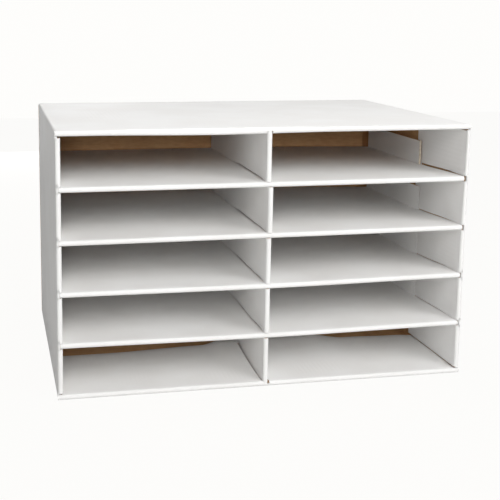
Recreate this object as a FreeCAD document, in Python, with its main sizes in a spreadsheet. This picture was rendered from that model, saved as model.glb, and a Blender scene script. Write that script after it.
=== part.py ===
import FreeCAD, Part
import os

# A free-standing paper organizer made of corrugated board: two columns of five open slots.
# One blank folds into the shell, one into the upright divider and one into each shelf.
# Every blank is folded back on itself at the front, so the front edges are round and two
# boards thick. The panels between two folds are sub-parts of their own.
# Origin at the middle of the underside, +X to the right, +Y to the back, +Z up, millimetres.

SHELF_COUNT = 4

SIZES = (
    ("board_thickness", 4.3, "thickness of the corrugated board"),
    ("column_width", 328.4, "clear width of a column, from side lining to divider"),
    ("row_height", 74.4, "clear height of a row between two shelves"),
    ("end_row_height", 76.9, "clear height of the top row and of the bottom row"),
    ("grid_reach", 406.4, "front edge to the back ends of the divider and the shelves"),
    ("rear_space", 54.9, "back ends of the shelves to the inside of the back wall"),
    ("halving_reach", 228.0, "front edge to the ends of the halving slots"),
    ("lining_reach", 186.0, "front edge to the free edges of the folded-in front flaps"),
    ("lining_grip", 21.0, "strip of a lining behind its slots, where the slots stop"),
    ("flange_height", 43.0, "height of a shelf's upturned ends above the shelf"),
    ("glue_tab_width", 38.0, "width of the tab that closes the shell's blank into a tube"),
    ("glue_tab_taper", 12.0, "slant at each end of the glue tab"),
    ("back_flap_reach", 213.8, "width of the left and right back flaps"),
    ("seam_gap", 1.0, "gap where the top and bottom back flaps meet"),
    ("slot_gap", 3.0, "gap above a shelf in the slots that it rests in"),
    ("shelf_end_gap", 2.0, "gap between the ends of a shelf and the side walls"),
    ("cross_gap", 0.4, "gap each side of the divider in the slots that it stands in"),
    ("corner_gap", 2.5, "gap between folds or flaps that meet in a corner"),
    ("slide_gap", 0.3, "running gap of the pieces that slide out"),
    ("corner_radius", 3.0, "outer rounding of the shell's long folds"),
)

doc = FreeCAD.newDocument("PaperOrganizer")
sheet = doc.addObject("Spreadsheet::Sheet", "Sizes")
for line, (alias, size, meaning) in enumerate(SIZES, start=1):
    sheet.set(f"A{line}", meaning)
    sheet.set(f"B{line}", str(size))
    sheet.setAlias(f"B{line}", alias)
doc.recompute()

# Expressions for the planes that the pieces share. X planes are those right of the middle.
BOARD = "Sizes.board_thickness"
HALF_WIDTH = f"(Sizes.column_width + 3 * {BOARD})"
WALL_FACE = f"({HALF_WIDTH} - {BOARD})"
LINING_FACE = f"({HALF_WIDTH} - 2 * {BOARD})"
FLANGE_FACE = f"({LINING_FACE} - Sizes.slide_gap)"
SHELF_END = f"({WALL_FACE} - Sizes.shelf_end_gap)"
SLOT_SIDE = f"({BOARD} + Sizes.cross_gap)"

HALF_DEPTH = f"((Sizes.grid_reach + Sizes.rear_space + 2 * {BOARD}) / 2)"
FRONT = f"(-{HALF_DEPTH})"
FOLD_LINE = f"({FRONT} + {BOARD})"
LINING_END = f"({FRONT} + Sizes.lining_reach)"
SLOT_END = f"({LINING_END} - Sizes.lining_grip)"
HALVING_END = f"({FRONT} + Sizes.halving_reach)"
GRID_END = f"({FRONT} + Sizes.grid_reach)"
BACK_FACE = f"({HALF_DEPTH} - 2 * {BOARD})"
BACK_JOINT = f"({HALF_DEPTH} - {BOARD})"

LINING_FLOOR = f"(2 * {BOARD})"
ALL_ROWS = f"(2 * Sizes.end_row_height + {SHELF_COUNT - 1} * Sizes.row_height)"
LINING_CEILING = f"({LINING_FLOOR} + {ALL_ROWS} + {2 * SHELF_COUNT} * {BOARD})"
CEILING = f"({LINING_CEILING} + {BOARD})"
HEIGHT = f"({CEILING} + {BOARD})"

# Turns that point the flat side of a half round to the back.
ALONG_X = FreeCAD.Rotation(FreeCAD.Vector(1, 0, 1), 180)
ALONG_Z = FreeCAD.Rotation(FreeCAD.Vector(0, 0, 1), 180)

# Faces and edges nearer to a plane than this lie in it.
IN_PLANE = 0.01

sub_parts = []


def keep(item, node):
    """Make an object the sub-part of that name."""
    item.Label = node
    sub_parts.append(item)


def sided(side, inner, outer):
    """A span of X between two planes right of the middle, or its mirror on the left."""
    return (inner, outer) if side == "right" else (f"(-{outer})", f"(-{inner})")


def both_ways(plane):
    """The span of X from a plane's mirror on the left to the plane itself."""
    return (f"(-{plane})", plane)


def box(name, x_span, y_span, z_span):
    """A box between two planes on each axis."""
    item = doc.addObject("Part::Box", name)
    spans = (("Length", "x", x_span), ("Width", "y", y_span), ("Height", "z", z_span))
    for size, axis, (low, high) in spans:
        item.setExpression(size, f"{high} - {low}")
        item.setExpression(f"Placement.Base.{axis}", low)
    return item


def front_fold(name, turn, start, length):
    """The round front of a board folded back on itself, from a point of the fold line."""
    item = doc.addObject("Part::Cylinder", name)
    item.Angle = 180
    item.Placement.Rotation = turn
    item.setExpression("Radius", BOARD)
    item.setExpression("Height", length)
    for axis, place in zip("xyz", start):
        item.setExpression(f"Placement.Base.{axis}", place)
    return item


def fuse(name, items):
    joined = doc.addObject("Part::MultiFuse", name)
    joined.Shapes = items
    joined.Refine = True
    return joined


def cut(name, base, tools):
    """What is left of the base once every tool is taken away."""
    result = doc.addObject("Part::Cut", name)
    result.Base = base
    result.Tool = fuse(f"{name}_tools", tools) if len(tools) > 1 else tools[0]
    result.Refine = True
    return result


def round_outer_folds(name, board, is_top):
    """Round a top or bottom board's outer edges, except at the front."""
    doc.recompute()
    bounds = board.Shape.BoundBox
    outside = bounds.ZMax if is_top else bounds.ZMin
    radius = sheet.get("corner_radius")
    fillet = doc.addObject("Part::Fillet", name)
    fillet.Base = board
    fillet.Edges = [
        (number, radius, radius)
        for number, edge in enumerate(board.Shape.Edges, start=1)
        if abs(edge.CenterOfMass.z - outside) < IN_PLANE
        and edge.CenterOfMass.y > bounds.YMin + IN_PLANE
    ]
    return fillet


def shelf_middle(number):
    """Height of the face where a shelf's two plies meet; shelf 1 is the lowest."""
    rows_below = f"(Sizes.end_row_height + {number - 1} * Sizes.row_height)"
    return f"({rows_below} + {2 * number + 1} * {BOARD})"


def shelf_slots(name, x_span, y_span):
    """A slot for each shelf, which rests on its lower side with the gap above."""
    slots = []
    for number in range(1, SHELF_COUNT + 1):
        middle = shelf_middle(number)
        z_span = (f"({middle} - {BOARD})", f"({middle} + {BOARD} + Sizes.slot_gap)")
        slots.append(box(f"{name}_{number}", x_span, y_span, z_span))
    return slots


def level_panel(side):
    """The shell's top or bottom panel, with the lining that folds in behind its front."""
    is_top = side == "top"
    outer_span = (CEILING, HEIGHT) if is_top else ("0", BOARD)
    lining_span = (LINING_CEILING, CEILING) if is_top else (BOARD, LINING_FLOOR)
    fold_start = (f"(-{HALF_WIDTH})", FOLD_LINE, CEILING if is_top else BOARD)

    name = f"shell_{side}_panel"
    board = box(
        f"{name}_board", both_ways(HALF_WIDTH), (FOLD_LINE, HALF_DEPTH), outer_span
    )
    fold = front_fold(f"{name}_fold", ALONG_X, fold_start, f"2 * {HALF_WIDTH}")
    folded = fuse(
        f"{name}_folded", [round_outer_folds(f"{name}_rounded", board, is_top), fold]
    )
    notch = box(f"{name}_notch", both_ways(SLOT_SIDE), (FRONT, FOLD_LINE), lining_span)
    keep(cut(name, folded, [notch]), name)

    name = f"{side}_lining"
    lining = box(
        f"{name}_board",
        both_ways(f"({WALL_FACE} - Sizes.corner_gap)"),
        (FOLD_LINE, LINING_END),
        lining_span,
    )
    slot = box(f"{name}_slot", both_ways(SLOT_SIDE), (FRONT, SLOT_END), lining_span)
    keep(cut(name, lining, [slot]), name)


def side_panel(side):
    """The shell's left or right panel, with the slotted lining that carries the shelves."""
    outer_span = sided(side, WALL_FACE, HALF_WIDTH)
    lining_span = sided(side, LINING_FACE, WALL_FACE)
    low = f"({LINING_FLOOR} + Sizes.corner_gap)"
    high = f"({LINING_CEILING} - Sizes.corner_gap)"
    fold_x = WALL_FACE if side == "right" else f"(-{WALL_FACE})"

    name = f"shell_{side}_panel"
    board = box(f"{name}_board", outer_span, (FOLD_LINE, BACK_JOINT), (BOARD, CEILING))
    fold = front_fold(f"{name}_fold", ALONG_Z, (fold_x, FOLD_LINE, low), f"{high} - {low}")
    notches = shelf_slots(f"{name}_notch", lining_span, (FRONT, FOLD_LINE))
    keep(cut(name, fuse(f"{name}_folded", [board, fold]), notches), name)

    name = f"{side}_lining"
    lining = box(f"{name}_board", lining_span, (FOLD_LINE, LINING_END), (low, high))
    slots = shelf_slots(f"{name}_slot", lining_span, (FRONT, SLOT_END))
    keep(cut(name, lining, slots), name)


def back_flaps():
    """Left and right flaps folded in first, then the top and bottom flaps over them."""
    fit = (f"({BOARD} + Sizes.corner_gap)", f"({CEILING} - Sizes.corner_gap)")
    for side in ("left", "right"):
        name = f"{side}_back_flap"
        span = sided(side, f"({WALL_FACE} - Sizes.back_flap_reach)", WALL_FACE)
        keep(box(name, span, (BACK_FACE, BACK_JOINT), fit), name)
    seam = f"({HEIGHT} / 2)"
    half_gap = "Sizes.seam_gap / 2"
    for side, span in (
        ("top", (f"({seam} + {half_gap})", CEILING)),
        ("bottom", (BOARD, f"({seam} - {half_gap})")),
    ):
        name = f"{side}_back_flap"
        keep(box(name, both_ways(HALF_WIDTH), (BACK_JOINT, HALF_DEPTH), span), name)


def glue_tab():
    """The tapered tab of the bottom panel, glued up the inside of the left panel."""
    start = f"({LINING_END} + Sizes.corner_gap)"
    length = f"({BACK_FACE} - Sizes.corner_gap - {start})"
    tab = doc.addObject("Part::Wedge", "glue_tab")
    tab.Placement.Rotation = FreeCAD.Rotation(FreeCAD.Vector(1, 1, 1), 120)
    for axis, place in (("x", f"-{WALL_FACE}"), ("y", start), ("z", BOARD)):
        tab.setExpression(f"Placement.Base.{axis}", place)
    for low_side in ("Xmin", "Ymin", "Zmin", "Z2min"):
        setattr(tab, low_side, 0)
    tab.setExpression("Xmax", length)
    tab.setExpression("X2min", "Sizes.glue_tab_taper")
    tab.setExpression("X2max", f"{length} - Sizes.glue_tab_taper")
    tab.setExpression("Ymax", "Sizes.glue_tab_width")
    tab.setExpression("Zmax", BOARD)
    tab.setExpression("Z2max", BOARD)
    keep(tab, "glue_tab")


def divider():
    """The upright divider: two plies from a front fold, slotted from the front."""
    top = f"({CEILING} - Sizes.slide_gap)"
    low_back = f"({LINING_FLOOR} + Sizes.slide_gap)"
    high_back = f"({LINING_CEILING} - Sizes.slide_gap)"
    for side in ("left", "right"):
        name = f"divider_{side}_ply"
        span = sided(side, "0", BOARD)
        pieces = [
            box(f"{name}_front", span, (FOLD_LINE, SLOT_END), (BOARD, top)),
            box(f"{name}_back", span, (FOLD_LINE, GRID_END), (low_back, high_back)),
        ]
        if side == "left":
            start = ("0", FOLD_LINE, BOARD)
            pieces.append(front_fold(f"{name}_fold", ALONG_Z, start, f"{top} - {BOARD}"))
        slots = shelf_slots(f"{name}_slot", both_ways(BOARD), (FRONT, HALVING_END))
        keep(cut(name, fuse(f"{name}_whole", pieces), slots), name)


def shelf(number):
    """A shelf: two plies from a front fold, slotted from the back, and upturned ends."""
    middle = shelf_middle(number)
    plies = (
        ("upper", (middle, f"({middle} + {BOARD})")),
        ("lower", (f"({middle} - {BOARD})", middle)),
    )
    for ply, z_span in plies:
        name = f"shelf_{number}_{ply}_ply"
        pieces = [
            box(f"{name}_front", both_ways(SHELF_END), (FOLD_LINE, SLOT_END), z_span),
            box(f"{name}_back", both_ways(FLANGE_FACE), (FOLD_LINE, GRID_END), z_span),
        ]
        if ply == "upper":
            start = (f"(-{SHELF_END})", FOLD_LINE, middle)
            pieces.append(front_fold(f"{name}_fold", ALONG_X, start, f"2 * {SHELF_END}"))
        slot = box(f"{name}_slot", both_ways(SLOT_SIDE), (HALVING_END, GRID_END), z_span)
        keep(cut(name, fuse(f"{name}_whole", pieces), [slot]), name)

    foot = f"({middle} + {BOARD})"
    for side in ("left", "right"):
        name = f"shelf_{number}_{side}_flange"
        x_span = sided(side, f"({FLANGE_FACE} - {BOARD})", FLANGE_FACE)
        z_span = (foot, f"({foot} + Sizes.flange_height)")
        keep(box(name, x_span, (SLOT_END, GRID_END), z_span), name)


level_panel("top")
level_panel("bottom")
side_panel("left")
side_panel("right")
back_flaps()
glue_tab()
divider()
for shelf_number in range(1, SHELF_COUNT + 1):
    shelf(shelf_number)

doc.recompute()
for item in doc.Objects:
    if "Invalid" in item.State or "Error" in item.State:
        raise RuntimeError(f"{item.Name} did not build: {item.State}")
for item in sub_parts:
    if item.Shape.isNull() or not item.Shape.isValid():
        raise RuntimeError(f"{item.Label} has no valid shape")
    if len(item.Shape.Solids) != 1:
        raise RuntimeError(f"{item.Label} has {len(item.Shape.Solids)} solids")

os.makedirs("parts", exist_ok=True)
for item in sub_parts:
    item.Shape.exportStep(f"parts/{item.Label}.step")
print(f"{len(sub_parts)} sub-parts written")
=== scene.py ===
import bpy
import bmesh
from math import pi, radians, sin, tau
from mathutils import Matrix, Vector


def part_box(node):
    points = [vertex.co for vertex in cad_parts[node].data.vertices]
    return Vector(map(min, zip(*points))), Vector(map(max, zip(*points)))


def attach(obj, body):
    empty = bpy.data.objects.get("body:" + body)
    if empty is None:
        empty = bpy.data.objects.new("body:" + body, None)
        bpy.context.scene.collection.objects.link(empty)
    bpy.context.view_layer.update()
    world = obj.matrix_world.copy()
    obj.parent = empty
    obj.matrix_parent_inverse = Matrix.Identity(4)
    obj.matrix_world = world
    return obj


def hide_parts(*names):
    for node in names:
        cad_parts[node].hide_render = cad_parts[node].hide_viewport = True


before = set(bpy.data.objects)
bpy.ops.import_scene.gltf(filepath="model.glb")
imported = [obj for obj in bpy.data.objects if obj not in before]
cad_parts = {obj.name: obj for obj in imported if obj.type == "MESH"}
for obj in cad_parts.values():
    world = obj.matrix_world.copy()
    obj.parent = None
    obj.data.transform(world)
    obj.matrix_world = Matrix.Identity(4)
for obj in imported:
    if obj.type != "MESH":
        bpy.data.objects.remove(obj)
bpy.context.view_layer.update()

# Camera: left of the organizer and above it, turned a little to the right and down. The
# frame is shifted so that the upright edges stay nearly upright.
CAMERA_PLACE = Vector((-0.4367, -1.6986, 0.6041))
CAMERA_TURN = radians(11.294)
CAMERA_TILT = radians(9.009)
CAMERA_ROLL = radians(0.378)
CAMERA_LENS = 69.8
CAMERA_SHIFT = (0.1360, -0.1639)

camera_data = bpy.data.cameras.new("camera")
camera_data.sensor_width = 36
camera_data.lens = CAMERA_LENS
camera_data.shift_x, camera_data.shift_y = CAMERA_SHIFT
camera = bpy.data.objects.new("camera", camera_data)
camera.matrix_world = (
    Matrix.Translation(CAMERA_PLACE)
    @ Matrix.Rotation(-CAMERA_TURN, 4, "Z")
    @ Matrix.Rotation(pi / 2 - CAMERA_TILT, 4, "X")
    @ Matrix.Rotation(CAMERA_ROLL, 4, "Z")
)
bpy.context.scene.collection.objects.link(camera)
bpy.context.scene.camera = camera
bpy.context.scene.view_settings.view_transform = "Standard"


# Studio: a pale floor and a pale room, which look white to the camera, with large soft
# lamps before the organizer, above it and behind it.
class Tone:
    """A shader value that Python's operators work on, and the maker of every other node."""

    def __init__(self, tree, socket):
        self.tree = tree
        self.socket = socket

    @classmethod
    def node(cls, tree, kind, settings=None, output=0, inputs=None):
        """One output of a new node, whose settings come first and its sockets after."""
        made = tree.nodes.new(kind)
        for name, setting in (settings or {}).items():
            setattr(made, name, setting)
        for name, value in (inputs or {}).items():
            if isinstance(value, Tone):
                tree.links.new(value.socket, made.inputs[name])
            else:
                made.inputs[name].default_value = value
        return cls(tree, made.outputs[output] if made.outputs else None)

    def maths(self, operation, first, second=0.0):
        inputs = {0: first, 1: second}
        return Tone.node(self.tree, "ShaderNodeMath", {"operation": operation}, 0, inputs)

    def __add__(self, other):
        return self.maths("ADD", self, other)

    def __mul__(self, other):
        return self.maths("MULTIPLY", self, other)

    __radd__ = __add__
    __rmul__ = __mul__

    def wave(self):
        return self.maths("SINE", self)

    def between(self, low, high):
        """0 below low, 1 above high and a smooth rise between them."""
        smooth = {"interpolation_type": "SMOOTHSTEP"}
        inputs = {"Value": self, "From Min": low, "From Max": high}
        return Tone.node(self.tree, "ShaderNodeMapRange", smooth, 0, inputs)


BACKDROP_WHITE = (0.99, 0.985, 0.97, 1)
ROOM_LIGHT = 0.1
FLOOR_REACH = 4.0
FLOOR_COLOUR = (0.65, 0.65, 0.64, 1)
FLOOR_WHITE_SHARE = 0.97


def white_to_camera(tree, surface, share):
    """A surface mixed with plain white light for what the camera or a gloss sees of it."""
    rays = [
        Tone.node(tree, "ShaderNodeLightPath", output=f"Is {kind} Ray")
        for kind in ("Camera", "Glossy", "Transmission")
    ]
    seen = rays[0].maths("MAXIMUM", rays[0], rays[1].maths("MAXIMUM", rays[1], rays[2]))
    white = Tone.node(tree, "ShaderNodeEmission", inputs={"Color": BACKDROP_WHITE})
    inputs = {0: seen * share, 1: surface, 2: white}
    return Tone.node(tree, "ShaderNodeMixShader", inputs=inputs)


def new_material(name, share_of_white=0.0, **surface):
    """A material from the sockets of its surface, each made by a function of the tree."""
    material = bpy.data.materials.new(name)
    material.use_nodes = True
    tree = material.node_tree
    tree.nodes.clear()
    inputs = {
        socket.replace("_", " "): value(tree) if callable(value) else value
        for socket, value in surface.items()
    }
    shader = Tone.node(tree, "ShaderNodeBsdfPrincipled", inputs=inputs)
    if share_of_white:
        shader = white_to_camera(tree, shader, share_of_white)
    Tone.node(tree, "ShaderNodeOutputMaterial", inputs={"Surface": shader})
    return material


room = bpy.data.worlds.new("room")
room.use_nodes = True
bpy.context.scene.world = room
room.node_tree.nodes.clear()
walls = Tone.node(
    room.node_tree, "ShaderNodeBackground", inputs={0: (1, 1, 1, 1), 1: ROOM_LIGHT}
)
Tone.node(
    room.node_tree,
    "ShaderNodeOutputWorld",
    inputs={"Surface": white_to_camera(room.node_tree, walls, 1.0)},
)

floor_mesh = bmesh.new()
bmesh.ops.create_grid(floor_mesh, x_segments=1, y_segments=1, size=FLOOR_REACH)
floor_data = bpy.data.meshes.new("floor")
floor_mesh.to_mesh(floor_data)
floor_mesh.free()
pale_floor = new_material(
    "pale_floor", FLOOR_WHITE_SHARE, Base_Color=FLOOR_COLOUR, Roughness=0.9
)
floor_data.materials.append(pale_floor)
floor = bpy.data.objects.new("floor", floor_data)
bpy.context.scene.collection.objects.link(floor)

# Each lamp's place, the point that it faces, its size in metres and its power in watts.
LAMPS = {
    "key_lamp": ((-0.5, -2.9, 1.6), (0, 0, 0.2), 1.0, 32),
    "near_lamp": ((-0.62, -3.0, 0.75), (0, 0, 0.2), 0.35, 14),
    "right_lamp": ((1.8, -2.5, 1.8), (0, 0, 0.2), 1.4, 44),
    "left_lamp": ((-2.2, -2.4, 1.0), (0, 0, 0.2), 1.4, 3),
    "high_lamp": ((0.5, -2.0, 2.6), (0, 0, 0.2), 1.2, 13),
    "top_lamp": ((0, 0, 2.8), (0, 0, 0.3), 1.6, 28),
    "rear_lamp": ((-0.2, 2.6, 0.25), (0, 0.2, 0.2), 0.8, 28),
}
for name, (place, aim, size, power) in LAMPS.items():
    lamp_data = bpy.data.lights.new(name, "AREA")
    lamp_data.size = size
    lamp_data.energy = power
    lamp = bpy.data.objects.new(name, lamp_data)
    facing = (Vector(aim) - Vector(place)).to_track_quat("-Z", "Y")
    lamp.matrix_world = Matrix.Translation(place) @ facing.to_matrix().to_4x4()
    bpy.context.scene.collection.objects.link(lamp)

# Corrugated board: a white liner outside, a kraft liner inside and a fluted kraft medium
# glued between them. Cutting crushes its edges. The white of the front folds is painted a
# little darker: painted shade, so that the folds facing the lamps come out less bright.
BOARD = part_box("top_lining")[1][2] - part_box("top_lining")[0][2]
LINER = 0.0004
FLUTE = 0.0078
RELIEF_HEIGHT = 0.0002
LINER_DULL = (0.855, 0.845, 0.83)
LINER_CLEAN = (0.89, 0.885, 0.875)
# Painted shade: how much darker the white of the front folds is painted.
PAINTED_SHADE_ON_FOLDS = 0.9
KRAFT_TONES = ((0.54, 0.295, 0.135), (0.66, 0.395, 0.195))
CUT_TONES = ((0.62, 0.53, 0.41), (0.80, 0.73, 0.62))
# How many features of the papers lie in a metre, about.
LINER_CLOUDS, LINER_GRAIN = 9.0, 900.0
KRAFT_CLOUDS, KRAFT_FIBRES, KRAFT_FLECKS = 14.0, 260.0, 1400.0
FIBRE_STRETCH = (0.25, 1.0, 1.0)
WHITE, KRAFT, CUT, SHADED_FOLD = range(4)
X, Y, Z = range(3)


def speckle(tree, scale, stretch=(1, 1, 1), detail=4.0):
    """A noise value over the piece, about 0.5 in the middle."""
    place = Tone.node(tree, "ShaderNodeTexCoord", output="Object")
    stretched = Tone.node(
        tree, "ShaderNodeMapping", inputs={"Vector": place, "Scale": stretch}
    )
    inputs = {"Vector": stretched, "Scale": scale, "Detail": detail}
    return Tone.node(tree, "ShaderNodeTexNoise", inputs=inputs)


def blended(tree, factor, first, second):
    """One colour turning into another as the factor rises from 0 to 1."""
    inputs = {0: factor, 6: (*first, 1), 7: (*second, 1)}
    return Tone.node(tree, "ShaderNodeMix", {"data_type": "RGBA"}, 2, inputs)


def relief(tree, height, strength):
    """A bump of the paper's own small height."""
    inputs = {"Strength": strength, "Distance": RELIEF_HEIGHT, "Height": height}
    return Tone.node(tree, "ShaderNodeBump", inputs=inputs)


def white_liner(name, wave_axis, painted_shade_scale=1.0):
    """Coated white paper, a little cloudy, drawn in a little between the flutes. A scale
    below 1 darkens it, as painted shade.
    """
    dull = [painted_shade_scale * value for value in LINER_DULL]
    clean = [painted_shade_scale * value for value in LINER_CLEAN]

    def cloud(tree):
        return speckle(tree, LINER_CLOUDS, detail=3.0)

    def ribs(tree):
        place = Tone.node(tree, "ShaderNodeTexCoord", output="Object")
        across = Tone.node(
            tree, "ShaderNodeSeparateXYZ", output=wave_axis, inputs={"Vector": place}
        )
        return (across * (tau / FLUTE)).wave()

    def grain(tree):
        return ribs(tree) * 0.5 + speckle(tree, LINER_GRAIN, detail=2.0) * 0.25

    return new_material(
        name,
        Base_Color=lambda tree: blended(tree, cloud(tree).between(0.35, 0.7), dull, clean),
        Roughness=lambda tree: cloud(tree) * 0.15 + 0.63,
        Specular_IOR_Level=0.3,
        Normal=lambda tree: relief(tree, grain(tree), 0.35),
    )


def kraft_paper(name, dark, light):
    """Unbleached brown paper with long fibres and small dark and light flecks."""

    def fibres(tree):
        return speckle(tree, KRAFT_FIBRES, FIBRE_STRETCH, 5.0)

    def tone(tree):
        clouds = speckle(tree, KRAFT_CLOUDS, detail=2.0) * 0.35
        flecks = speckle(tree, KRAFT_FLECKS, detail=2.0) * 0.15
        return fibres(tree) * 0.5 + clouds + flecks

    return new_material(
        name,
        Base_Color=lambda tree: blended(tree, tone(tree).between(0.35, 0.65), dark, light),
        Roughness=lambda tree: fibres(tree) * 0.2 + 0.75,
        Normal=lambda tree: relief(tree, fibres(tree), 0.3),
    )


white_across = [white_liner(f"white_liner_{word}", axis) for axis, word in enumerate("xyz")]
kraft = kraft_paper("kraft_liner", *KRAFT_TONES)
crushed = kraft_paper("crushed_edge", *CUT_TONES)
# The front folds' liner: the white painted darker, as painted shade.
shaded_fold_liner = white_liner("white_liner_painted_fold_shade", X, PAINTED_SHADE_ON_FOLDS)

# Shell panels: the four sides of the tube, white outside and kraft inside. The long edges
# are folds and so is each front edge, which turns in over the panel's lining. The boards
# have given way a little where the shelves press on them.
FOLD_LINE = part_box("top_lining")[0][1]
FOLD_CELL = 0.025
FOLD_STEPS = 12
ROUNDING_STEPS = 5
SQUARENESS = 2.15
LONG_FOLD_ROUNDING = BOARD * 0.9
REAR_FOLD_ROUNDING = BOARD * 0.8
SHARP_EDGE = radians(40)
SLOT_GAP = 0.003
CROSS_GAP = 0.0004
CORNER_GAP = 0.0025
WALL_FOLD_GAP = 0.0003
FOLD_TUCK = 0.004
SHELF_COUNT = 4
shelf_boxes = [
    (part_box(f"shelf_{number}_lower_ply")[0][2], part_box(f"shelf_{number}_upper_ply")[1][2])
    for number in range(1, SHELF_COUNT + 1)
]
half_width, back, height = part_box("shell_top_panel")[1]
slot_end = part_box("shelf_1_left_flange")[0][1]
slot_side = BOARD + CROSS_GAP
wall_face = half_width - BOARD
close = BOARD / 10

# How far each shelf hangs below its true height at the left wall, at the divider and at the
# right wall. The first of the four is the lowest shelf, here and in every list of four.
SHELF_SAG = (
    (0.0015, 0.0033, 0.0008),
    (0.0018, 0.0031, 0.0004),
    (0.0025, 0.0021, 0.0013),
    (0.0016, 0.0018, 0.0014),
)

# The further drop of its right end, which is whole at this depth behind the fold line.
RIGHT_END_DROP = (0.0045, 0.0078, 0.0060, 0.0048)
END_DROP_DEPTH = 0.165

# The further drop of its middle, which the front fold and the divider's rear half stiffen.
BELLY = (0.0026, 0.0014, 0.0010, 0.0006)
BELLY_RISE, BELLY_END, BELLY_FADE = 0.09, 0.23, 0.12

# The top hangs down a little at its front, most of all left of the divider.
TOP_SAG = 0.0020
TOP_SAG_PLACE = -0.09
TOP_SAG_REACH = 0.2

# The right wall and its lining are pressed together in their upper half.
PINCH = 0.28
PINCH_START, PINCH_LENGTH = 0.45, 0.5

# How far the divider's front fingers lean to the side, from the lowest row to the highest,
# whose finger the gap in the top's fold follows.
FINGER_LEAN = (-0.0018, -0.0008, -0.0005, 0.0011, -0.0025)


def join(bm, part, index=None):
    """Add a part to a piece, all of one material if its index is given."""
    if index is not None:
        for face in part.faces:
            face.material_index = index
            face.smooth = True
    passing = bpy.data.meshes.new("part")
    part.to_mesh(passing)
    part.free()
    bm.from_mesh(passing)
    bpy.data.meshes.remove(passing)


def slab(bm, low, high, index):
    """A board whose edges are all folded or hidden."""
    size = Vector(high) - Vector(low)
    layout = Matrix.Translation((Vector(high) + Vector(low)) / 2)
    block = bmesh.new()
    bmesh.ops.create_cube(block, size=1.0, matrix=layout @ Matrix.Diagonal((*size, 1)))
    join(bm, block, index)


def line_with_kraft(bm, axis, level):
    """Show the board's kraft side on the faces that lie at a level."""
    for face in bm.faces:
        if abs(face.calc_center_median()[axis] - level) < close:
            face.material_index = KRAFT


def round_folds(bm, folds, offset):
    """Round the long edges that the blank is folded along."""
    bmesh.ops.bevel(
        bm, geom=folds, offset=offset, segments=ROUNDING_STEPS, profile=0.5,
        affect="EDGES", material=-1,
    )


def front_fold(bm, start, end, outer, turn=pi):
    """The front of a board folded back on itself, from its outer face round to the inner.
    The two scores of the fold leave its front a little flatter than a half round."""
    start, end, outer = Vector(start), Vector(end), Vector(outer)
    fold = bmesh.new()
    line = fold.edges.new([fold.verts.new(place + outer * BOARD) for place in (start, end)])
    cuts = max(1, round((end - start).length / FOLD_CELL))
    bmesh.ops.subdivide_edges(fold, edges=[line], cuts=cuts)
    bmesh.ops.spin(
        fold, geom=[*fold.verts, *fold.edges], cent=start, axis=outer.cross((0, -1, 0)),
        angle=turn, steps=round(FOLD_STEPS * turn / pi), use_merge=False,
        use_duplicate=False,
    )
    for vert in fold.verts:
        out = (vert.co - start).dot(outer) / BOARD
        forward = (start.y - vert.co.y) / BOARD
        stretch = (abs(out) ** SQUARENESS + abs(forward) ** SQUARENESS) ** (-1 / SQUARENESS)
        vert.co += outer * (out * (stretch - 1) * BOARD)
        vert.co.y -= forward * (stretch - 1) * BOARD
    bmesh.ops.recalc_face_normals(fold, faces=fold.faces)
    bmesh.ops.solidify(
        fold, geom=[*fold.verts, *fold.edges, *fold.faces], thickness=LINER
    )
    # The fold takes the darker white of the painted shade.
    join(bm, fold, SHADED_FOLD)


def finish_piece(name, bm, body, node, wave_axis):
    """Make the mesh a piece that rides on a body and stands for a board of the frame."""
    bmesh.ops.recalc_face_normals(bm, faces=bm.faces)
    mesh = bpy.data.meshes.new(name)
    bm.to_mesh(mesh)
    bm.free()
    for material in (white_across[wave_axis], kraft, crushed, shaded_fold_liner):
        mesh.materials.append(material)
    mesh.set_sharp_from_angle(angle=SHARP_EDGE)
    piece = bpy.data.objects.new(name, mesh)
    bpy.context.scene.collection.objects.link(piece)
    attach(piece, body)
    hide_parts(node)


def eased(share):
    """A smooth rise from 0 to 1."""
    share = max(0.0, min(1.0, share))
    return share * share * (3 - 2 * share)


def depth(place):
    """Distance behind the line where the front folds begin."""
    return place.y - FOLD_LINE


def shelf_drop(row, place):
    """How far a shelf lies below its true height at a place."""
    left, middle, right = SHELF_SAG[row]
    out = eased(abs(place.x) / wall_face)
    sag = middle + ((left if place.x < 0 else right) - middle) * out
    belly = BELLY[row] * eased(depth(place) / BELLY_RISE)
    belly = belly * eased((BELLY_END - depth(place)) / BELLY_FADE) * (1 - out)
    end = RIGHT_END_DROP[row] * eased(depth(place) / END_DROP_DEPTH)
    end = end * max(0.0, place.x / wall_face) ** 2
    return sag + belly + end


def top_sag(place):
    """How far the top and its lining hang down at a place."""
    forward = eased(1 - depth(place) / TOP_SAG_REACH)
    return TOP_SAG * forward * eased(1 - abs(place.x - TOP_SAG_PLACE) / TOP_SAG_REACH)


def settle(part, row, low, high, gap):
    """Fit the board between two slots to the shelf above it, and leave a gap below it."""
    for vert in part.verts:
        place = vert.co.copy()
        share = (place.z - low) / (high - low)
        fall_below = 0.0
        if row > 0:
            fall_below = shelf_drop(row - 1, place) + SLOT_GAP - gap(row - 1, place)
        fall_above = shelf_drop(row, place) if row < SHELF_COUNT else 0.0
        vert.co.z -= fall_below * (1 - share) + fall_above * share


def wall_fold_gap(row, place):
    """The gap between a shelf and the wall's front fold above it."""
    return WALL_FOLD_GAP


def narrow_right(verts):
    """Press the right wall and its lining together towards the top."""
    for vert in verts:
        if vert.co.x > half_width - 3 * BOARD:
            rise_share = eased((vert.co.z / height - PINCH_START) / PINCH_LENGTH)
            vert.co.x += (half_width - vert.co.x) * PINCH * rise_share


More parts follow.
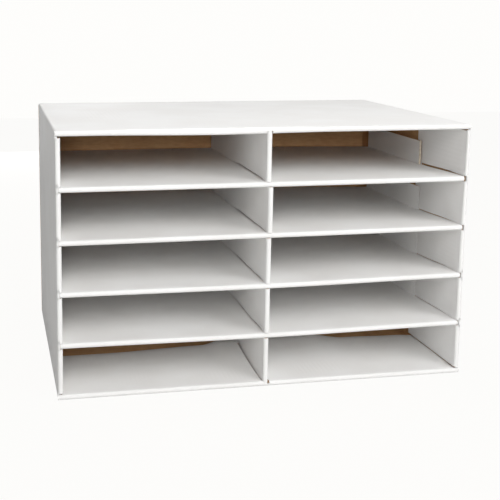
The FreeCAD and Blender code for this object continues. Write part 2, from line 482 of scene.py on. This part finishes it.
for side, up in (("top", 1), ("bottom", -1)):
    bm = bmesh.new()
    outside = height if up > 0 else 0.0
    inside = outside - up * BOARD
    low = (-half_width, FOLD_LINE, min(outside, inside))
    high = (half_width, back, max(outside, inside))
    slab(bm, low, high, WHITE)
    line_with_kraft(bm, Z, inside)
    long_folds = [
        edge for edge in bm.edges
        if all(abs(vert.co.z - outside) < close for vert in edge.verts)
        and sum(vert.co.y for vert in edge.verts) > 2 * FOLD_LINE + BOARD
    ]
    round_folds(bm, long_folds, LONG_FOLD_ROUNDING)
    lean = FINGER_LEAN[-1] if up > 0 else 0.0
    slot_left, slot_right = (lean + out * slot_side for out in (-1, 1))
    stretches = (
        (-half_width, slot_left, pi),
        (slot_left, slot_right, pi / 2),
        (slot_right, half_width, pi),
    )
    for left, right, turn in stretches:
        fold_start, fold_stop = (left, FOLD_LINE, inside), (right, FOLD_LINE, inside)
        front_fold(bm, fold_start, fold_stop, (0, 0, up), turn)
    if up > 0:
        for vert in bm.verts:
            vert.co.z -= top_sag(vert.co)
    finish_piece(f"{side}_panel", bm, "shell", f"shell_{side}_panel", X)

for side, out in (("left", -1), ("right", 1)):
    bm = bmesh.new()
    inner_x, outer_x = out * wall_face, out * half_width
    low = (min(inner_x, outer_x), FOLD_LINE, BOARD)
    high = (max(inner_x, outer_x), back - BOARD, height - BOARD)
    slab(bm, low, high, WHITE)
    line_with_kraft(bm, X, inner_x)
    rear_fold = [
        edge for edge in bm.edges
        if all(
            abs(vert.co.x - outer_x) < close and vert.co.y > back - 2 * BOARD
            for vert in edge.verts
        )
    ]
    round_folds(bm, rear_fold, REAR_FOLD_ROUNDING)
    bottom = 2 * BOARD + CORNER_GAP
    top_gap = CORNER_GAP if out < 0 else CORNER_GAP / 2
    rows = shelf_boxes + [(height - 2 * BOARD - top_gap, None)]
    for row, (shelf_low, shelf_high) in enumerate(rows):
        part = bmesh.new()
        fold_start, fold_stop = (inner_x, FOLD_LINE, bottom), (inner_x, FOLD_LINE, shelf_low)
        front_fold(part, fold_start, fold_stop, (out, 0, 0))
        settle(part, row, bottom, shelf_low, wall_fold_gap)
        join(bm, part)
        if shelf_high:
            bottom = shelf_high + SLOT_GAP
            fold_start = (inner_x, FOLD_LINE, shelf_low - FOLD_TUCK)
            front_fold(bm, fold_start, (inner_x, FOLD_LINE, bottom), (out, 0, 0), pi / 2)
    narrow_right(bm.verts)
    finish_piece(f"{side}_panel", bm, "shell", f"shell_{side}_panel", Z)

# Linings: the flaps folded in behind the front folds, white towards the slots. The side
# linings are slotted for the shelves, the top and bottom ones for the divider. The bottom
# one isn't held down, so its free edge stands up, most of all about the divider.
CELL = 0.025
BENT_CELL = 0.006
FLUTE_STEPS = 8
SLOT_PLAY = 0.003
FREE_EDGE_CRUSH = 0.6
LINING_GAP = (0.0016, 0.0016, 0.0018, 0.0028)
LINING_GAP_DEPTH = 0.08

# Height of the bottom lining's free edge above the bottom panel, from left to right.
LINING_RISE = (
    (-0.333, 0.0),
    (-0.25, 0.0),
    (-0.07, 0.0045),
    (-0.035, 0.0115),
    (0.14, 0.0115),
    (0.2, 0.0035),
    (0.31, 0.0015),
    (0.333, 0.0),
)


def sheet(bm, low, high, thin, cells, index, ripple=None):
    """A sheet of paper half way through a flat box, in cells of the sizes given."""
    first, second = (axis for axis in range(3) if axis != thin)
    size = [high[axis] - low[axis] for axis in range(3)]
    middle = [(high[axis] + low[axis]) / 2 for axis in range(3)]
    spread = [
        [size[first] * (axis == first), size[second] * (axis == second), axis == thin, 0]
        for axis in range(3)
    ]
    paper = bmesh.new()
    bmesh.ops.create_grid(
        paper,
        x_segments=max(1, round(size[first] / cells[first])),
        y_segments=max(1, round(size[second] / cells[second])),
        size=0.5,
        matrix=Matrix.Translation(middle) @ Matrix(spread + [[0, 0, 0, 1]]),
    )
    paper.normal_update()
    paper.faces.ensure_lookup_table()
    offset = paper.faces[0].normal[thin] * LINER / 2
    for vert in paper.verts:
        vert.co[thin] += offset + (ripple(vert.co) if ripple else 0.0)
    bmesh.ops.solidify(
        paper, geom=[*paper.verts, *paper.edges, *paper.faces], thickness=LINER
    )
    join(bm, paper, index)


def board(
    bm, low, high, thin, flutes, low_face, high_face,
    closed_end=None, end_face=None, cell=CELL,
):
    """Two liners and the fluted medium between them, in the box between two corners. The
    low end on one axis may be closed by its crushing. Where a board is bent, its liners
    are as fine as its medium, so that the medium doesn't come through them."""
    wave_axis = 3 - thin - flutes
    plain = [cell] * 3
    for place, index in ((low[thin], low_face), (high[thin] - LINER, high_face)):
        inner, outer = list(low), list(high)
        inner[thin] = place
        outer[thin] = place + LINER
        sheet(bm, inner, outer, thin, plain, index)
    fine = [cell] * 3
    fine[wave_axis] = FLUTE / FLUTE_STEPS
    swing = (high[thin] - low[thin]) / 2 - 1.5 * LINER
    inner = list(low)
    if closed_end is not None:
        inner[closed_end] += 2 * LINER
        outer = list(high)
        outer[closed_end] = low[closed_end] + LINER
        sheet(bm, low, outer, closed_end, plain, end_face)

    def ripple(place):
        return swing * sin(tau * place[wave_axis] / FLUTE)

    sheet(bm, inner, high, thin, fine, KRAFT, ripple)


def rise(place):
    """Height of the bottom lining's free edge above the bottom panel's inner face."""
    for (start, low_rise), (end, high_rise) in zip(LINING_RISE, LINING_RISE[1:]):
        if place.x <= end:
            share = eased((place.x - start) / (end - start))
            return low_rise + (high_rise - low_rise) * share
    return 0.0


def lining_gap(row, place):
    """The gap that is left above a shelf in a lining's slot."""
    return LINING_GAP[row] * eased(depth(place) / LINING_GAP_DEPTH)


for side in ("top", "bottom"):
    bm = bmesh.new()
    low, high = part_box(f"{side}_lining")
    faces = (WHITE, KRAFT) if side == "top" else (KRAFT, WHITE)
    for left, right in ((low[0], -slot_side - SLOT_PLAY), (slot_side, high[0])):
        front, rear = (left, low[1], low[2]), (right, slot_end, high[2])
        board(bm, front, rear, Z, Y, *faces, cell=BENT_CELL)
    board(bm, (low[0], slot_end, low[2]), tuple(high), Z, Y, *faces, cell=BENT_CELL)
    for vert in bm.verts:
        if side == "bottom":
            share = depth(vert.co) / (high[1] - low[1])
            edge_share = eased(1 - (high[1] - vert.co.y) / (2 * BENT_CELL))
            crush = FREE_EDGE_CRUSH * edge_share
            lift = rise(vert.co) * share * eased(share)
            vert.co.z += (low[2] - vert.co.z) * crush + lift
        else:
            vert.co.z -= top_sag(vert.co)
    finish_piece(f"{side}_front_lining", bm, "shell", f"{side}_lining", X)

for side in ("left", "right"):
    bm = bmesh.new()
    low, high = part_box(f"{side}_lining")
    faces = (KRAFT, WHITE) if side == "left" else (WHITE, KRAFT)
    bottom = low[2]
    for row, (shelf_low, shelf_high) in enumerate(shelf_boxes + [(high[2], None)]):
        part = bmesh.new()
        front, rear = (low[0], low[1], bottom), (high[0], slot_end, shelf_low)
        board(part, front, rear, X, Y, *faces)
        settle(part, row, bottom, shelf_low, lining_gap)
        join(bm, part)
        if shelf_high:
            bottom = shelf_high + SLOT_GAP
    board(bm, (low[0], slot_end, low[2]), tuple(high), X, Y, *faces)
    narrow_right(bm.verts)
    finish_piece(f"{side}_front_lining", bm, "shell", f"{side}_lining", Z)

# Back flaps: the left and right ones fold in first, the top and bottom ones close over them
# and meet at half height. They are white behind and kraft inside.
for side, flutes in (("left", X), ("right", X), ("top", Z), ("bottom", Z)):
    bm = bmesh.new()
    low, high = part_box(f"{side}_back_flap")
    board(bm, tuple(low), tuple(high), Y, flutes, KRAFT, WHITE)
    finish_piece(f"{side}_rear_flap", bm, "shell", f"{side}_back_flap", X + Z - flutes)

# Glue tab: the slanted tab of board along the bottom left fold, which closes the tube. Its
# white face is glued to the inside of the left panel.
TAB_SLANT = 0.012
bm = bmesh.new()
low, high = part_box("glue_tab")
board(bm, tuple(low), tuple(high), X, Y, WHITE, KRAFT)
tab_middle = (low[1] + high[1]) / 2
for vert in bm.verts:
    share = (vert.co.z - low[2]) / (high[2] - low[2])
    vert.co.y += (tab_middle - vert.co.y) / (high[1] - tab_middle) * TAB_SLANT * share
finish_piece("glued_tab", bm, "shell", "glue_tab", Z)

# Divider: one board folded at the front, both faces white, slotted from the front so that
# the shelves pass through. Its front fingers stand a little off line, and each rests on
# the shelf below it at both ends of the slot.
HALVING_REACH = 0.228
RUNNING_GAP = 0.0003
LEAN_CURVE = 1.5
FINGER_REST, FINGER_END, FINGER_FADE = 0.04, 0.222, 0.05
halving_end = FOLD_LINE - BOARD + HALVING_REACH
divider_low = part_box("divider_left_ply")[0][2]
divider_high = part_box("divider_left_ply")[1][2]
grid_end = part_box("divider_left_ply")[1][1]
back_low = 2 * BOARD + RUNNING_GAP
back_high = height - back_low


def finger_gap(row, place):
    """The gap under a finger, which closes towards both ends of the slot."""
    front_share = eased(depth(place) / FINGER_REST)
    return SLOT_GAP * front_share * eased((FINGER_END - depth(place)) / FINGER_FADE)


for side, out in (("left", -1), ("right", 1)):
    bm = bmesh.new()
    low_x, high_x = (-BOARD, 0.0) if out < 0 else (0.0, BOARD)
    faces = (WHITE, KRAFT) if out < 0 else (KRAFT, WHITE)
    bottom = divider_low
    for row, (shelf_low, shelf_high) in enumerate(shelf_boxes + [(divider_high, None)]):
        finger = bmesh.new()
        front, rear = (low_x, FOLD_LINE, bottom), (high_x, slot_end, shelf_low)
        board(finger, front, rear, X, Z, *faces)
        front = (low_x, slot_end, max(bottom, back_low))
        rear = (high_x, halving_end, min(shelf_low, back_high))
        board(finger, front, rear, X, Z, *faces)
        if out < 0:
            front_fold(finger, (0, FOLD_LINE, bottom), (0, FOLD_LINE, shelf_low), (1, 0, 0))
        settle(finger, row, bottom, shelf_low, finger_gap)
        for vert in finger.verts:
            share = (halving_end - vert.co.y) / (halving_end - FOLD_LINE)
            vert.co.x += FINGER_LEAN[row] * max(0.0, min(1.0, share)) ** LEAN_CURVE
        join(bm, finger)
        if shelf_high:
            bottom = shelf_high + SLOT_GAP
    front, rear = (low_x, halving_end, back_low), (high_x, grid_end, back_high)
    board(bm, front, rear, X, Z, *faces)
    finish_piece(f"divider_{side}_board", bm, "divider", f"divider_{side}_ply", Y)

# Shelves: each one board folded at the front, both faces white, slotted from the back for
# the divider. Its ends turn up against the rear strips of the side linings, and their
# front edges are crushed, all but those of the top shelf.
FOLD_END_LEFT = 0.0003
FOLD_END_RIGHT = (0.0020, 0.0020, 0.0024, 0.0035)
END_CRUSH = 0.75
TOP_SHELF = SHELF_COUNT - 1
for row in range(SHELF_COUNT):
    name = f"shelf_{row + 1}"
    for ply in ("upper", "lower"):
        bm = bmesh.new()
        low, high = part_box(f"{name}_{ply}_ply")
        low_z = high[2] - BOARD if ply == "upper" else low[2]
        high_z = low_z + BOARD
        faces = (KRAFT, WHITE) if ply == "upper" else (WHITE, KRAFT)
        left = FOLD_END_LEFT - wall_face
        right = wall_face - FOLD_END_RIGHT[row]
        end_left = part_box(f"{name}_left_flange")[0][0]
        end_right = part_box(f"{name}_right_flange")[1][0]
        board(bm, (left, FOLD_LINE, low_z), (right, slot_end, high_z), Z, X, *faces)
        front, rear = (end_left, slot_end, low_z), (end_right, halving_end, high_z)
        board(bm, front, rear, Z, X, *faces)
        for start, end in ((end_left, -slot_side), (slot_side, end_right)):
            board(bm, (start, halving_end, low_z), (end, grid_end, high_z), Z, X, *faces)
        if ply == "upper":
            front_fold(bm, (left, FOLD_LINE, low_z), (right, FOLD_LINE, low_z), (0, 0, 1))
        for vert in bm.verts:
            vert.co.z -= shelf_drop(row, vert.co)
        finish_piece(f"{name}_{ply}_board", bm, name, f"{name}_{ply}_ply", Y)
    for side in ("left", "right"):
        bm = bmesh.new()
        low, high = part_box(f"{name}_{side}_flange")
        faces = (KRAFT, WHITE) if side == "left" else (WHITE, KRAFT)
        edge_face = CUT if row == TOP_SHELF else WHITE
        board(bm, tuple(low), tuple(high), X, Z, *faces, Y, edge_face)
        outer_face = low[0] if side == "left" else high[0]
        for vert in bm.verts:
            vert.co.z -= shelf_drop(row, vert.co)
            if row < TOP_SHELF:
                crush = max(0.0, 1 - (vert.co.y - low[1]) / CELL)
                vert.co.x += END_CRUSH * (outer_face - vert.co.x) * crush
        finish_piece(f"{name}_{side}_upturned_end", bm, name, f"{name}_{side}_flange", Y)
